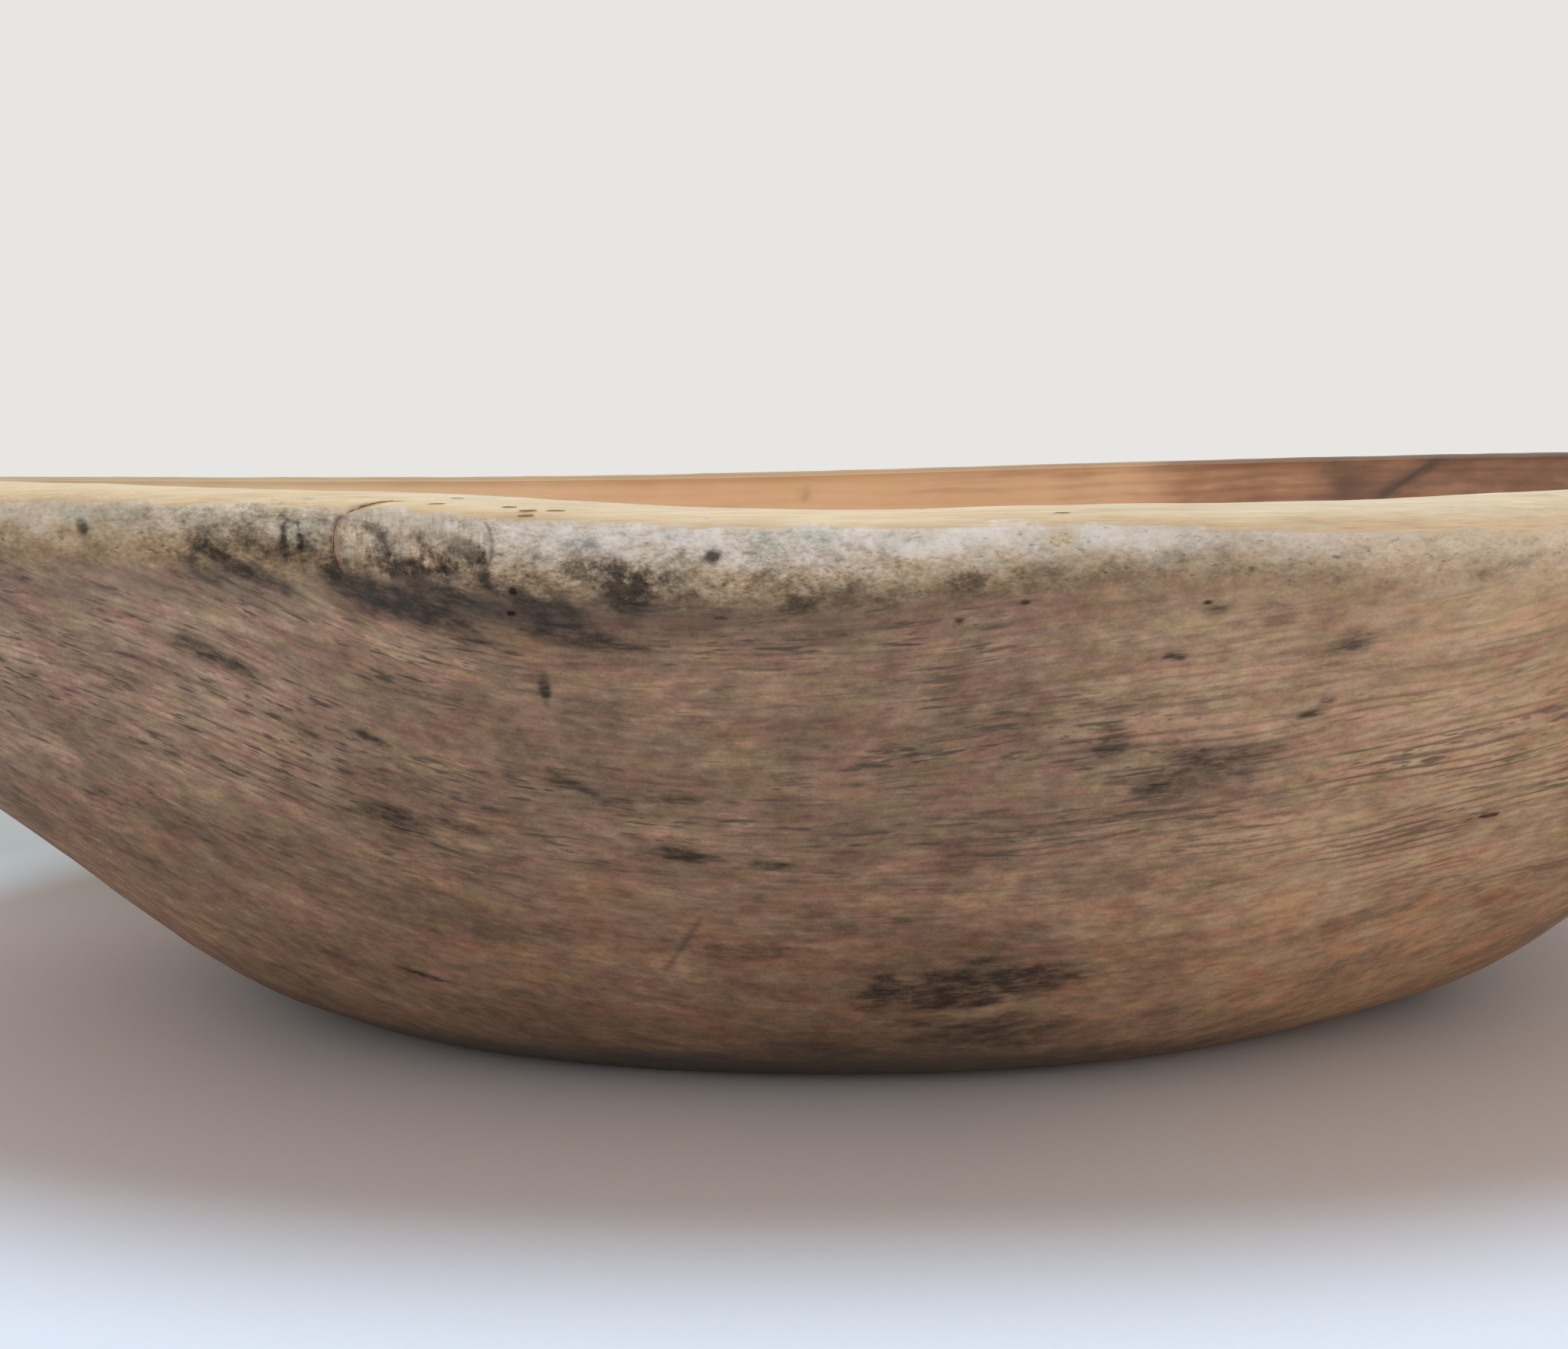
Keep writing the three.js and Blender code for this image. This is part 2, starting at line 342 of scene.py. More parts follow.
class Noise:
    """Smooth seeded noise in three dimensions, between -1 and 1."""

    CELLS = 48
    LAYER_SCALE = 2.03
    LAYER_SHIFT = 7.7

    def __init__(self, seed):
        self.lattice = np.random.default_rng(seed).uniform(-1, 1, (self.CELLS,) * 3)

    def once(self, points):
        cell = np.floor(points).astype(int)
        part = points - cell
        part = part * part * (3 - 2 * part)
        total = np.zeros(len(points))
        for corner in np.ndindex(2, 2, 2):
            weight = np.prod(np.where(corner, part, 1 - part), axis=1)
            index = (cell + corner) % self.CELLS
            total += weight * self.lattice[index[:, 0], index[:, 1], index[:, 2]]
        return total

    def __call__(self, points, sizes, layers=2):
        scaled = points / np.array(sizes)
        total = np.zeros(len(points))
        for layer in range(layers):
            total += 0.5**layer * self.once(scaled * self.LAYER_SCALE**layer + self.LAYER_SHIFT * layer)
        return total


UNEVEN = Noise(11)
GRAIN = Noise(23)
ROUGH = Noise(37)
DRIFT = Noise(51)
BLOTCH = Noise(67)


def ease(low, high, value):
    """0 up to the low value, 1 from the high one, and a soft change between."""
    share = np.clip((value - low) / (high - low), 0, 1)
    return share * share * (3 - 2 * share)


def bump_at(value, centre, reach):
    """1 at the centre, falling softly on both sides of it."""
    return np.exp(-(((value - centre) / reach) ** 2))


def swell(place, swells):
    """Sum of soft bumps along X."""
    return sum(rise * bump_at(place, centre, reach) for centre, reach, rise in swells)


# Shape: the CAD section and outline, with the hand-made departures of the front rim


def oval_radius(angle, length, width, power):
    along = np.abs(np.cos(angle) / (length / 2)) ** power
    across = np.abs(np.sin(angle) / (width / 2)) ** power
    return (along + across) ** (-1 / power)


def rim_radius(angle):
    return oval_radius(angle, LENGTH, WIDTH, RIM_POWER)


def rim_place(angle):
    return rim_radius(angle) * np.cos(angle)


def front_share(angle):
    """1 on the front of the dish, 0 behind, with a soft change at the ends."""
    return ease(-0.1, 0.35, -np.sin(angle))


def crest_height(angle):
    height = HEIGHT + front_share(angle) * swell(rim_place(angle), CREST_SWELLS)
    for waves, rise, peak in RIM_SWAY:
        height = height + rise * np.cos(waves * (angle - math.radians(peak)))
    return height


def edge_height(angle):
    return EDGE_HEIGHT + front_share(angle) * swell(rim_place(angle), EDGE_SWELLS)


def crest_rounding(angle):
    start, end, extra = CREST_SLOPE
    return CREST_ROUNDING + front_share(angle) * extra * ease(start, end, rim_place(angle))


def mouth_rounding(angle):
    return BACK_MOUTH_ROUNDING + front_share(angle) * (MOUTH_ROUNDING - BACK_MOUTH_ROUNDING)


def bend(start, corner, end, steps):
    """Points of a quadratic curve without its first. Each point is a pair of rows, radius and height."""
    rows = []
    for share in np.arange(1, steps + 1) / steps:
        weights = ((1 - share) ** 2, 2 * share * (1 - share), share**2)
        rows.append(sum(weight * np.array(point) for weight, point in zip(weights, (start, corner, end))))
    return rows


def straight(start, end, steps):
    middle = (np.array(start) + np.array(end)) / 2
    return bend(start, middle, end, steps)


def section(angle):
    """Rows of radius and height, from the foot's middle over the rim to the hollow's middle."""
    flat = np.zeros_like(angle)
    foot = oval_radius(angle, FOOT_LENGTH, FOOT_WIDTH, FOOT_POWER)
    rim = rim_radius(angle)
    well = oval_radius(angle, WELL_LENGTH, WELL_WIDTH, FOOT_POWER)
    mouth = rim - RIM_WIDTH
    crest = crest_height(angle)
    floor = flat + FLOOR_THICKNESS
    wall_start = np.array((foot + WALL_BELLY * (rim - foot), flat))
    corner = np.array((rim, crest - edge_height(angle)))
    run = corner - wall_start
    wall_top = corner - EDGE_SOFTENING * run / np.linalg.norm(run, axis=0)
    face_start = (rim, corner[1] + EDGE_SOFTENING)
    face_top = (rim, crest - crest_rounding(angle))
    crown = (rim - CREST_INSET, crest)
    lip = (mouth, crest - mouth_rounding(angle))
    bowl = (well + HOLLOW_BELLY * (mouth - well), floor)
    rows = [np.array((flat, flat))]
    rows += straight((flat, flat), (foot, flat), FLAT_STEPS)
    rows += bend((foot, flat), wall_start, wall_top, WALL_STEPS)
    rows += bend(wall_top, corner, face_start, EDGE_STEPS)
    rows += straight(face_start, face_top, FACE_STEPS)
    rows += bend(face_top, (rim, crest), crown, CROWN_STEPS)
    rows += bend(crown, (mouth, crest), lip, LIP_STEPS)
    rows += bend(lip, bowl, (well, floor), HOLLOW_STEPS)
    rows += straight((well, floor), (flat, floor), FLAT_STEPS)
    return np.array(rows)


def column_angles():
    """Plan angles of the skin's columns: close together on the front, closest at the rim knot."""
    fine = np.linspace(0, 2 * math.pi, 20001)
    radius = rim_radius(fine)
    place = rim_place(fine)
    front = front_share(fine) * (1 - ease(*NEAR_END, np.abs(place)))
    at_knot = front * np.exp(-(((place - RIM_KNOT["along"]) / KNOT_ZONE) ** 4))
    step = FAR_STEP + (NEAR_STEP - FAR_STEP) * front + (KNOT_STEP - NEAR_STEP) * at_knot
    speed = np.hypot(radius, np.gradient(radius, fine))
    count = np.concatenate(([0], np.cumsum((speed / step)[1:] * np.diff(fine))))
    total = int(round(count[-1]))
    return np.interp(np.arange(total) * count[-1] / total, count, fine)


def skin_grid():
    angle = column_angles()
    rows = section(angle)
    return np.stack((rows[:, 0] * np.cos(angle), rows[:, 0] * np.sin(angle), rows[:, 1]), axis=2)


def grid_faces(rows, columns):
    """Faces of a closed grid whose first and last rows are single points."""
    ring = np.arange(columns)
    after = np.roll(ring, -1)
    below = 1 + np.arange(rows - 3)[:, None] * columns
    quads = np.stack((below + ring, below + after, below + columns + after, below + columns + ring), 2)
    last_row = 1 + (rows - 3) * columns
    pole = np.full_like(ring, 1 + (rows - 2) * columns)
    start = np.stack((np.zeros_like(ring), 1 + after, 1 + ring), 1)
    end = np.stack((last_row + ring, last_row + after, pole), 1)
    return start.tolist() + quads.reshape(-1, 4).tolist() + end.tolist()


def grid_points(grid):
    return np.concatenate((grid[0, :1], grid[1:-1].reshape(-1, 3), grid[-1, :1]))


def add_object(name, data):
    added = bpy.data.objects.new(name, data)
    bpy.context.scene.collection.objects.link(added)
    return added


def new_object(name, points, faces):
    mesh = bpy.data.meshes.new(name)
    mesh.from_pydata((points * MM).tolist(), [], faces)
    mesh.polygons.foreach_set("use_smooth", np.ones(len(faces), bool))
    mesh.update()
    return add_object(name, mesh)


def vertex_array(mesh, field):
    values = np.empty(len(mesh.vertices) * 3, np.float32)
    mesh.vertices.foreach_get(field, values)
    return values.reshape(-1, 3).astype(float)


# Where a point lies on the dish and in the wood


class Places:
    """Place along X, height, inset from the outer edge and fall over the rim of each point."""

    def __init__(self, points, normals):
        self.points = points
        self.angle = np.arctan2(points[:, 1], points[:, 0])
        self.along = points[:, 0]
        self.height = points[:, 2]
        self.inset = rim_radius(self.angle) - np.hypot(points[:, 0], points[:, 1])
        drop = crest_height(self.angle) - points[:, 2]
        inside = (normals[:, 2] > -0.1) & (self.inset > CREST_INSET)
        # The fall is the drop below the crest outside it, and minus the distance from the crest inside it.
        self.fall = np.where(inside, CREST_INSET - self.inset, drop)
        self.front = front_share(self.angle)

    def span(self, places):
        """0 where a span along X starts, 1 where it ends."""
        return ease(*places, self.along)

    def level(self, heights):
        """0 at the first of two heights, 1 at the second."""
        return ease(*heights, self.height)

    def line(self, table, elsewhere):
        """A front line's drop below the crest, and the drop elsewhere."""
        places, drops = zip(*table)
        return elsewhere + self.front * (np.interp(self.along, places, drops) - elsewhere)


def knot_seat(knot):
    """Where a knot's axis leaves the front rim, the way it points there, and the way to its right."""
    reach = abs(knot["along"] / (LENGTH / 2))
    across = -(WIDTH / 2) * (1 - reach**RIM_POWER) ** (1 / RIM_POWER)
    slope_along = math.copysign(reach ** (RIM_POWER - 1), knot["along"]) / LENGTH
    slope_across = -(abs(across / (WIDTH / 2)) ** (RIM_POWER - 1)) / WIDTH
    outward = np.array((slope_along, slope_across, 0)) / math.hypot(slope_along, slope_across)
    height = crest_height(np.array([math.atan2(across, knot["along"])]))[0] - knot["drop"]
    return np.array((knot["along"], across, height)), outward, np.array((-outward[1], outward[0], 0))


def knot_frame(knot, points):
    """How far each point is to the right of a knot's axis, above it and out along it."""
    seat, outward, right = knot_seat(knot)
    away = points - seat
    return away @ right, away[:, 2], away @ outward


def knot_edge(knot, points):
    """1 on the knot's edge, less inside it and more outside it."""
    side, up, out = knot_frame(knot, points)
    spread = np.maximum(1 + knot["taper"] * out / knot["half_width"], 0.2)
    power = knot["power"]
    oval = np.abs(side / knot["half_width"]) ** power + np.abs(up / knot["half_height"]) ** power
    return oval ** (1 / power) / spread


def open_side(points):
    """1 where the rim knot has come away from the dish, along its left side, and 0 further round it."""
    side, up, _ = knot_frame(RIM_KNOT, points)
    return ease(0.1, -0.75, side / RIM_KNOT["half_width"]) * ease(-5, -2, up)


def grain_drift(points):
    """How the grain lines move across the wood: down under the rim knot, and up again to the right."""
    along, across, height = points.T
    high = np.clip((height - 30) / 65, 0, 1)
    near = ease(30, -70, across)
    reach = DIP_REACH + (DIP_REACH_HIGH - DIP_REACH) * high
    slope = DIP_SLOPE + (DIP_SLOPE_HIGH - DIP_SLOPE) * high
    dip = slope * reach * np.tanh((along - DIP_AT) / reach)
    lift = high * LIFT_SLOPE * LIFT_REACH * np.tanh((along - LIFT_AT) / LIFT_REACH)
    run = np.clip(along - RISE_FROM, 0, RISE_TO - RISE_FROM)
    rise = RISE_SLOPE * (run**2 / (2 * (RISE_TO - RISE_FROM)) + np.maximum(along - RISE_TO, 0))
    return near * (dip - lift) - rise


def wood_coordinates(points):
    """Place along the grain, distance across the growth rings, and place round them."""
    across = points[:, 1] - PITH_ACROSS
    up = points[:, 2] - PITH_HEIGHT
    wander = sum(depth * DRIFT(points, sizes) for depth, sizes in GRAIN_WANDER)
    ring = np.hypot(across, up) + grain_drift(points) + wander
    return np.stack((points[:, 0], ring, np.arctan2(across, up) * PITH_DISTANCE), axis=1)


# Displacement: hewn unevenness, raised grain, the weathered edge's pits and the rim knot's worn edge


def worn_groove(points, at):
    """The groove worn along the open side of the rim knot."""
    near_rim = ease(40, 20, at.inset + np.maximum(at.fall, 0))
    worn = GROOVE_DEPTH + GROOVE_UNEVENNESS * ROUGH(points, GROOVE_SIZES)
    return -worn * bump_at(knot_edge(RIM_KNOT, points), 1.01, 0.035) * open_side(points) * near_rim


def relief(points, normals):
    """How far each point moves out along its normal."""
    at = Places(points, normals)
    on_wall = ease(9, 20, at.fall)
    on_edge = ease(17, 12, at.fall) * ease(2.5, 5, at.fall)
    in_hollow = ease(-12, -22, at.fall)
    off_foot = ease(0.5, 4, at.height)
    hewn = HEWN_DEPTH * UNEVEN(points, HEWN_SIZES)
    ridges = RIDGE_DEPTH * GRAIN(wood_coordinates(points), RIDGE_SIZES)
    bulge = at.front * swell(at.along, WALL_SWELLS) * at.level(SWELL_HEIGHTS)
    pitted = ease(0.25, 0.9, ROUGH(points, EDGE_PIT_SIZES)) * ease(5, 9, at.fall)
    outside = on_wall * (hewn + ridges + bulge) - on_edge * EDGE_PIT_DEPTH * pitted
    fine = FINE_DEPTH * UNEVEN(points, FINE_SIZES)
    return off_foot * (outside + HEWN_SHARE_INSIDE * in_hollow * hewn + fine) + worn_groove(points, at)


def add_relief(piece):
    points = vertex_array(piece.data, "co") / MM
    normals = vertex_array(piece.data, "normal")
    moved = points + normals * relief(points, normals)[:, None]
    piece.data.vertices.foreach_set("co", (moved * MM).astype(np.float32).ravel())
    piece.data.update()


# Cutters and booleans


def cone_cutter(name, knot, opening=0, wobble=0.03, sides=160, rings=24):
    """An uneven oval cone along a knot's axis, wider on its left side by the opening."""
    seat, outward, right = knot_seat(knot)
    upward = np.array((0, 0, 1))
    turn = np.linspace(0, 2 * math.pi, sides, endpoint=False)
    circle = np.stack((np.cos(turn), np.sin(turn), np.zeros(sides)), axis=1)
    radius = oval_radius(turn, 2 * knot["half_width"], 2 * knot["half_height"], knot["power"])
    radius *= 1 + wobble * ROUGH(circle, (0.25, 0.25, 1), 4)
    gape = opening * ease(0.1, -0.75, np.cos(turn)) * ease(-0.75, -0.35, np.sin(turn))
    gape *= 0.6 + 0.9 * ROUGH(circle, (0.06, 0.06, 1))
    out = np.linspace(-knot["depth"], KNOT_OVERSHOOT, rings)
    points = [seat + outward * out[0]]
    for distance in out:
        reach = radius * (1 + knot["taper"] * distance / knot["half_width"]) + gape
        sideways = np.outer(reach * np.cos(turn), right)
        points.extend(seat + outward * distance + sideways + np.outer(reach * np.sin(turn), upward))
    points.append(seat + outward * out[-1])
    return new_object(name, np.array(points), grid_faces(rings + 2, sides))


def cut(piece, cutter, operation):
    modifier = piece.modifiers.new("cut", "BOOLEAN")
    modifier.operation = operation
    modifier.solver = "MANIFOLD"
    modifier.object = cutter
    bpy.context.view_layer.update()
    evaluated = piece.evaluated_get(bpy.context.evaluated_depsgraph_get())
    mesh = bpy.data.meshes.new_from_object(evaluated)
    piece.modifiers.clear()
    piece.data = mesh
    bpy.data.objects.remove(cutter)


def drop_flaps(mesh):
    """Takes out corners that only two edges meet at, where a cut leaves folded slivers."""
    work = bmesh.new()
    work.from_mesh(mesh)
    for corner in [corner for corner in work.verts if len(corner.link_edges) == 2]:
        bmesh.utils.vert_collapse_edge(corner, corner.link_edges[0])
    work.to_mesh(mesh)
    work.free()


class Pits:
    """Small oval dents: their centres on the skin, and their axes along, across and into it."""

    SIDES = 14
    RINGS = 8
    LOBES = 3
    LOBE_SHARE = 0.12
    DEEP_WIDTH = 0.4
    SHALLOW_SHARE = 0.3
    DARK_WIDTH = 0.28
    FAINT_SHADE = 0.45

    def __init__(self, points, normals):
        at = Places(points, normals)
        self.dents = []
        crown = (at.fall <= 9) & (at.front == 1)
        wall = (at.fall >= 1) & (at.front == 1)
        for table, across, allowed in ((CROWN_PITS, at.inset, crown), (WALL_PITS, at.height, wall)):
            for along, level, half_length, half_width in table:
                far = np.where(allowed, np.abs(at.along - along) + np.abs(across - level), np.inf)
                self.add(points[far.argmin()], normals[far.argmin()], half_length, half_width)

    def add(self, centre, normal, half_length, half_width):
        along = np.array((1, 0, 0)) - normal * normal[0]
        along /= np.linalg.norm(along)
        depth = PIT_DEPTH * (1 if half_width > self.DEEP_WIDTH else self.SHALLOW_SHARE)
        sizes = (half_length, half_width, depth)
        self.dents.append((centre, along, np.cross(normal, along), normal, sizes))

    def cutter(self):
        points = []
        faces = []
        turn = np.linspace(0, 2 * math.pi, self.SIDES, endpoint=False)
        for centre, along, across, normal, sizes in self.dents:
            first = len(points)
            lobes = (1 + self.LOBE_SHARE * np.sin(self.LOBES * turn + first))[:, None]
            for lift in np.linspace(-math.pi / 2, math.pi / 2, self.RINGS):
                level = centre + normal * sizes[2] * math.sin(lift)
                ring = np.outer(np.cos(turn), along * sizes[0]) + np.outer(np.sin(turn), across * sizes[1])
                ring = level + ring * math.cos(lift) * lobes
                points.extend(ring if abs(math.cos(lift)) > 1e-6 else [level])
            faces += [[first + corner for corner in face] for face in grid_faces(self.RINGS, self.SIDES)]
        return new_object("pit_cutter", np.array(points), faces)

    def depth(self, points):
        """Painted shade of the dents: 1 inside a dent, 0 well outside them all, less for narrow ones."""
        deepest = np.zeros(len(points))
        for centre, along, across, normal, sizes in self.dents:
            away = points - centre
            axes = np.stack((along, across, normal), axis=1)
            reach = np.linalg.norm(away @ axes / np.array(sizes), axis=1)
            shade = 1 if sizes[1] > self.DARK_WIDTH else self.FAINT_SHADE
            deepest = np.maximum(deepest, shade * ease(1.35, 1.0, reach))
        return deepest


def make_pieces():
    grid = skin_grid()
    skin = new_object("hewn_dish", grid_points(grid), grid_faces(len(grid), grid.shape[1]))
    add_relief(skin)
    pits = Pits(vertex_array(skin.data, "co") / MM, vertex_array(skin.data, "normal"))
    knot = add_object("branch_knot", skin.data.copy())
    pin = add_object("pin_knot_peg", skin.data.copy())
    cut(knot, cone_cutter("knot_blank", RIM_KNOT), "INTERSECT")
    cut(knot, pits.cutter(), "DIFFERENCE")
    cut(pin, cone_cutter("pin_blank", PIN_KNOT, sides=40, rings=8), "INTERSECT")
    cut(skin, cone_cutter("knot_socket", RIM_KNOT, CRACK_WIDTH), "DIFFERENCE")
    cut(skin, cone_cutter("pin_socket", PIN_KNOT, sides=40, rings=8), "DIFFERENCE")
    cut(skin, pits.cutter(), "DIFFERENCE")
    for piece in (skin, knot, pin):
        drop_flaps(piece.data)
        piece.data.set_sharp_from_angle(angle=math.radians(SHARP_ANGLE))
    return skin, knot, pin, pits


# Fields that the finishes read, kept on the meshes


def front_points():
    """Points of the outer front, from the foot to the top of the edge."""
    outside = skin_grid()[1 + FLAT_STEPS : FLAT_STEPS + WALL_STEPS + EDGE_STEPS + FACE_STEPS]
    points = outside.reshape(-1, 3)
    return points[points[:, 1] < 0]


def marks_on(points, table):
    """Each mark of a table with its height changed to a distance across the growth rings."""
    found = []
    for along, height, *rest in table:
        far = np.hypot(points[:, 0] - along, points[:, 2] - height)
        ring = wood_coordinates(points[far.argmin()][None])[0, 1]
        found.append((along, ring, *rest))
    return found


def mark_field(at, wood, marks, ragged):
    """How strongly each point is marked by soft patches that lie along the grain."""
    clear = np.ones(len(wood))
    for along, ring, half_length, half_width, strength in marks:
        reach = np.hypot((at.along - along) / half_length, (wood[:, 1] - ring) / half_width) + ragged
        clear *= 1 - strength * ease(1.55, 0.3, reach)
    return DEEPEST_MARK * (1 - clear) * at.front


def streak_field(at, streaks):
    """Soft straight marks, each from one place and height to another."""
    total = np.zeros(len(at.along))
    for start, end, half_width, strength in streaks:
        start = np.array(start)
        run = np.array(end) - start
        away = np.stack((at.along, at.height), axis=1) - start
        share = np.clip(away @ run / (run @ run), 0, 1)
        reach = np.linalg.norm(away - share[:, None] * run, axis=1) / half_width
        total = np.maximum(total, strength * np.exp(-(reach**2)))
    return total


def set_field(mesh, name, values):
    kind = "FLOAT_VECTOR" if values.ndim == 2 else "FLOAT"
    field = "vector" if values.ndim == 2 else "value"
    mesh.attributes.new(name, kind, "POINT").data.foreach_set(field, values.astype(np.float32).ravel())


def right_share(at):
    """Grows along the front to the right, where the wood is lighter, and falls a little at the end."""
    return at.span(LIGHT_SPAN) * (1 - 0.3 * at.span(LIGHT_END_SPAN)) * at.front


def edge_fields(at):
    """Falls below the crown and below the grey edge, and how even and how pale that edge is."""
    calm = np.maximum(at.span(CALM_RIGHT_SPAN), at.span(CALM_LEFT_SPAN))
    pale = at.span(PALE_SPAN) * (1 - 0.35 * at.span(PALE_END_SPAN))
    return {
        "below_crown": at.fall - at.line(CROWN_LINE, CROWN_ELSEWHERE),
        "below_band": at.fall - at.line(BAND_LINE, BAND_ELSEWHERE),
        "calm": 0.5 * calm,
        "pale": 0.26 + 0.74 * pale,
    }


def knot_fields(points, at):
    """The rim knot's crack, its reddish lip and its heart, and the pale ring round the pin knot."""
    edge = knot_edge(RIM_KNOT, points)
    left = open_side(points)
    torn = edge + 0.02 * ROUGH(points, (1.6, 1.6, 1.6))
    side, up, _ = knot_frame(RIM_KNOT, points)
    line = bump_at(torn, 1.01, 0.022) * left * (0.55 + 0.8 * ROUGH(points, (0.9, 0.9, 0.9)))
    seam = bump_at(edge, 1, 0.022) * ease(0.6, 0.9, side / RIM_KNOT["half_width"])
    seam *= 0.95 * ease(3.8, 2.6, up) * ease(-6, -4, up)
    return {
        "crack": np.clip(np.maximum(line, seam), 0, 1),
        "lip": bump_at(torn, 0.95, 0.03) * left,
        "heart": ease(1.1, 0.75, edge),
        "halo": ease(2.1, 1.2, knot_edge(PIN_KNOT, points)) * at.front,
    }


def wall_fields(at):
    """Where the outer wall is lighter, warmer, ashen, rusty or lined."""
    plain = at.span(PLAIN_SPAN) * at.level(PLAIN_HEIGHTS)
    low_wall = at.level(RUST_TOP) * at.level(RUST_FOOT)
    return {
        "light": right_share(at) * (0.7 + 0.3 * at.level(LIGHT_HEIGHTS)),
        "warm": at.span(WARM_SPAN) * at.front,
        "ash": at.span(ASH_SPAN) * at.level(ASH_HEIGHTS),
        "low_wall": low_wall * at.span(RUST_SPAN),
        "lined": (0.25 + 0.75 * at.level(LINED_HEIGHTS)) * (1 - 0.6 * plain),
    }


def mark_fields(points, at, wood, stains, scrapes):
    """The outer wall's stains, scrapes and scratches, and painted shade low on the wall, at the foot and in
    the crease under the edge.
    """
    outside = ease(1, 5, at.fall)
    ragged = 0.35 * BLOTCH(wood, (9, 3, 3)) + 0.3 * ROUGH(wood, (5, 1.6, 2))
    scattered = ease(0.3, 0.95, BLOTCH(wood, (13, 4.5, 9)) + 0.4 * BLOTCH(points, (50, 50, 50)))
    scattered *= 0.5 - 0.15 * at.front
    # Painted shade: darker towards the foot, most of all just above the floor, for the contact shadow
    foot = 0.65 * at.level(LOW_SHADE_HEIGHTS) + 1.3 * at.level(FOOT_SHADE_HEIGHTS)
    foot *= 1 - 0.6 * right_share(at)
    under = at.fall - at.line(BAND_LINE, BAND_ELSEWHERE)
    # Painted shade: a dark line under the grey edge, for the shade in the crease there
    crease_shade = 0.75 * bump_at(under, 2.5, 3) * at.span(CREASE_SHADE_SPAN)
    return {
        "stain": outside * np.maximum(mark_field(at, wood, stains, ragged), scattered),
        "scrape": outside * mark_field(at, wood, scrapes, 0.5 * ragged),
        "scratch": outside * at.front * streak_field(at, WALL_SCRATCHES),
        "grime": outside * np.maximum(foot, crease_shade),
    }


def hollow_fields(at):
    """Where the hollow is, the painted shade that darkens the top of the far side's lip, and how the far
    wall changes along X.
    """
    behind = 1 - at.front
    upper = at.level(INNER_HEIGHTS) * behind
    return {
        "hollow": ease(1.5, -2.5, at.fall + 9 * at.front),
        "far_lip_shade": ease(-12, -10, at.fall) * ease(6, 2, at.fall) * behind,
        "inner_dark": at.span(INNER_DARK_SPAN) * upper,
        "inner_pale": at.span(INNER_PALE_SPAN) * upper,
        "inner_mark": behind * ease(3, -3, at.fall) * streak_field(at, INNER_STREAKS),
    }


def add_fields(piece, stains, scrapes, pits):
    points = vertex_array(piece.data, "co") / MM
    at = Places(points, vertex_array(piece.data, "normal"))
    wood = wood_coordinates(points)
    # The pits' field is painted shade inside the dents
    fields = {"wood": wood, "pit": pits.depth(points)}
    fields |= edge_fields(at) | knot_fields(points, at) | wall_fields(at) | hollow_fields(at)
    fields |= mark_fields(points, at, wood, stains, scrapes)
    for name, values in fields.items():
        set_field(piece.data, name, values)


# Finishes


class Graph:
    """The nodes of one finish, or of the light from all round."""

    def __init__(self, owner):
        owner.use_nodes = True
        self.tree = owner.node_tree
        self.nodes = self.tree.nodes

    def feed(self, socket, value):
        """Links a node's output or a named field to a socket, or sets a plain value on it."""
        if isinstance(value, str):
            value = self.field(value)
        if isinstance(value, bpy.types.NodeSocket):
            self.tree.links.new(value, socket)
        elif socket.type == "RGBA":
            socket.default_value = (*value, 1)
        else:
            socket.default_value = value

    def feed_named(self, node, **values):
        """Feeds a node's sockets by their names, with underscores for spaces."""
        for name, value in values.items():
            self.feed(node.inputs[name.replace("_", " ")], value)

    def node(self, kind, *values, **settings):
        node = self.nodes.new(kind)
        for name, setting in settings.items():
            setattr(node, name, setting)
        for socket, value in zip([socket for socket in node.inputs if socket.enabled], values):
            self.feed(socket, value)
        return node

    def field(self, name, output="Fac"):
        return self.node("ShaderNodeAttribute", attribute_name=name).outputs[output]

    def math(self, operation, *values):
        return self.node("ShaderNodeMath", *values, operation=operation).outputs[0]

    def times(self, first, second):
        return self.math("MULTIPLY", first, second)

    def seen(self):
        """1 for what the camera or a mirror sees, 0 for light that falls on the dish."""
        rays = self.node("ShaderNodeLightPath").outputs
        return self.math("MAXIMUM", rays["Is Camera Ray"], rays["Is Glossy Ray"])

    def noise(self, vector, sizes, seed, detail=2.0, roughness=0.5):
        scaled = self.node("ShaderNodeVectorMath", vector, sizes, operation="DIVIDE").outputs[0]
        values = (scaled, seed, 1.0, detail, roughness)
        return self.node("ShaderNodeTexNoise", *values, noise_dimensions="4D").outputs["Fac"]

    def step(self, value, low, high, start=0.0, end=1.0):
        values = (value, low, high, start, end)
        return self.node("ShaderNodeMapRange", *values, interpolation_type="SMOOTHSTEP").outputs[0]

    def blend(self, *weighted, start=0.0):
        """Sum of outputs, each times a weight, from a starting value."""
        total = start
        for weight, value in weighted:
            total = self.math("MULTIPLY_ADD", value, weight, total)
        return total

    def mix(self, share, first, second, kind="MIX"):
        node = self.node("ShaderNodeMix", share, first, second, data_type="RGBA", blend_type=kind)
        return next(socket for socket in node.outputs if socket.enabled)

    def tint(self, base, *tints):
        """Multiplies a colour by tints, each as far as its share says."""
        for share, colour in tints:
            base = self.mix(share, base, colour, "MULTIPLY")
        return base

    def cover(self, field, strongest, base, colour):
        """Covers a colour where a field of the mesh says so, up to the strongest share."""
        return self.mix(self.times(field, strongest), base, colour)

    def ramp(self, value, *stops):
        node = self.node("ShaderNodeValToRGB", value)
        elements = node.color_ramp.elements
        while len(elements) < len(stops):
            elements.new(0.5)
        for element, (position, colour) in zip(elements, stops):
            element.position = position
            element.color = (*colour, 1)
        return node.outputs["Color"]


